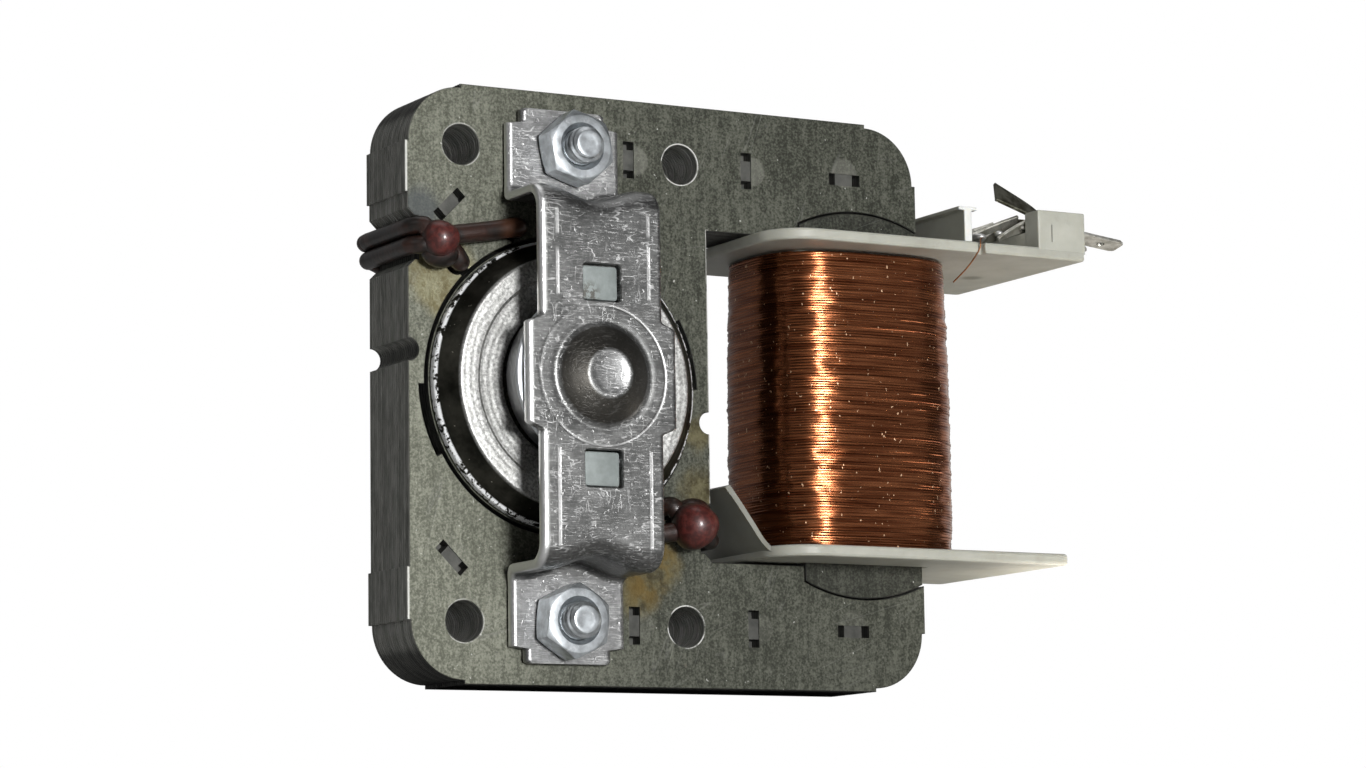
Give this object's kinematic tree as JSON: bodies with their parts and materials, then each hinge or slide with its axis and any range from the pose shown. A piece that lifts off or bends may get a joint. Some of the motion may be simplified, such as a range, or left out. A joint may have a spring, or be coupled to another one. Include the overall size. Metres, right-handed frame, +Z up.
{
  "type": "shaded-pole fan motor",
  "caption": "Open-frame shaded-pole fan motor of a refrigerator: square laminated frame, side coil on a bobbin, bearing brackets and a rotor with its shaft out at the rear.",
  "frame": {"origin": "lower edge of the square frame, straight below the rotor axis at the stack's mid thickness", "axes": "+X from the rotor towards the coil, +Y along the rotor axis towards the shaft end, +Z up the frame"},
  "size_m": [0.0884, 0.0502, 0.063],
  "materials": {
    "lamination_steel": "satin, oily, heat-tinted",
    "white_plastic": "satin",
    "copper_wire": "enamelled, glossy",
    "tinned_brass": "tinned, dull",
    "red_enamel": "gloss enamel over copper",
    "bright_sheet": "pressed, scratched",
    "zinc_plate": "zinc plated",
    "sintered_bronze": "sintered, oily",
    "oiled_felt": "felt",
    "cast_aluminium": "as cast",
    "ground_steel": "ground",
    "fibre": "matt"
  },
  "bodies": {
    "stator": {"stator_stack": "lamination_steel", "coil_core": "lamination_steel", "bobbin": "white_plastic", "winding": "copper_wire", "terminal_front": "tinned_brass", "terminal_rear": "tinned_brass", "shading_coil_upper": "red_enamel", "shading_coil_lower": "red_enamel", "front_bracket": "bright_sheet", "rear_bracket": "bright_sheet", "front_bearing": "sintered_bronze", "rear_bearing": "sintered_bronze", "front_retainer": "zinc_plate", "rear_retainer": "zinc_plate", "front_oil_felt": "oiled_felt", "rear_oil_felt": "oiled_felt", "clamp_screw_upper": "zinc_plate", "clamp_screw_lower": "zinc_plate", "clamp_nut_upper": "zinc_plate", "clamp_nut_lower": "zinc_plate"},
    "rotor": {"rotor_core": "lamination_steel", "rotor_cage": "cast_aluminium", "shaft": "ground_steel", "front_thrust_washer": "fibre", "rear_thrust_washer": "fibre", "front_spacer": "ground_steel", "rear_spacer": "ground_steel"}
  },
  "joints": [
    {"name": "rotor_spin", "type": "hinge", "parent": "stator", "child": "rotor", "pos_m": [0, 0, 0.0315], "axis": [0, 1, 0], "continuous": true}
  ]
}
